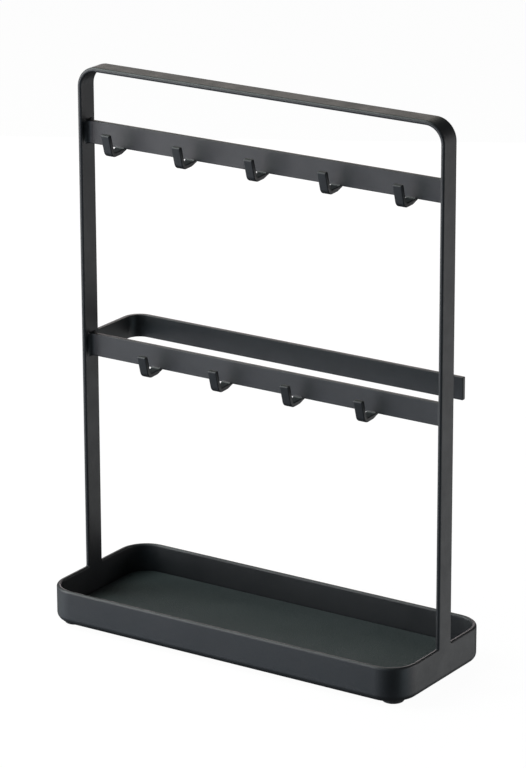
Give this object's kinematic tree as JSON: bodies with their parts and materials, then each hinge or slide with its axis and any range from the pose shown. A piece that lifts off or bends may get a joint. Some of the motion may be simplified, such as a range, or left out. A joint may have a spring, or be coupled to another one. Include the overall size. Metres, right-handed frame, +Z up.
{
  "type": "hook stand with tray",
  "caption": "Free-standing flat-bar steel frame with two rows of small bent hooks and a rear rail, standing on a shallow rounded tray with a loose mat.",
  "frame": {"origin": "centre of the footprint, on the surface that the feet rest on", "axes": "+Z up, +X to the right along the tray and the hook bars, -Y to the front, where the hooks point"},
  "size_m": [0.27, 0.105, 0.362],
  "materials": {
    "coated_steel": "satin black powder coat",
    "mat_sheet": "matte black grained sheet",
    "foot_rubber": "matte black rubber"
  },
  "bodies": {
    "stand": {"tray": "coated_steel", "foot_front_left": "foot_rubber", "foot_rear_left": "foot_rubber", "foot_front_right": "foot_rubber", "foot_rear_right": "foot_rubber", "frame": "coated_steel", "upper_hook_bar": "coated_steel", "lower_hook_bar": "coated_steel", "rear_rail": "coated_steel", "upper_hook_1": "coated_steel", "upper_hook_2": "coated_steel", "upper_hook_3": "coated_steel", "upper_hook_4": "coated_steel", "upper_hook_5": "coated_steel", "lower_hook_1": "coated_steel", "lower_hook_2": "coated_steel", "lower_hook_3": "coated_steel", "lower_hook_4": "coated_steel"},
    "mat": {"tray_mat": "mat_sheet"}
  },
  "joints": [
    {"name": "mat_lift", "type": "slide", "parent": "stand", "child": "mat", "axis": [0, 0, 1], "range_m": [0, 0.06]}
  ]
}
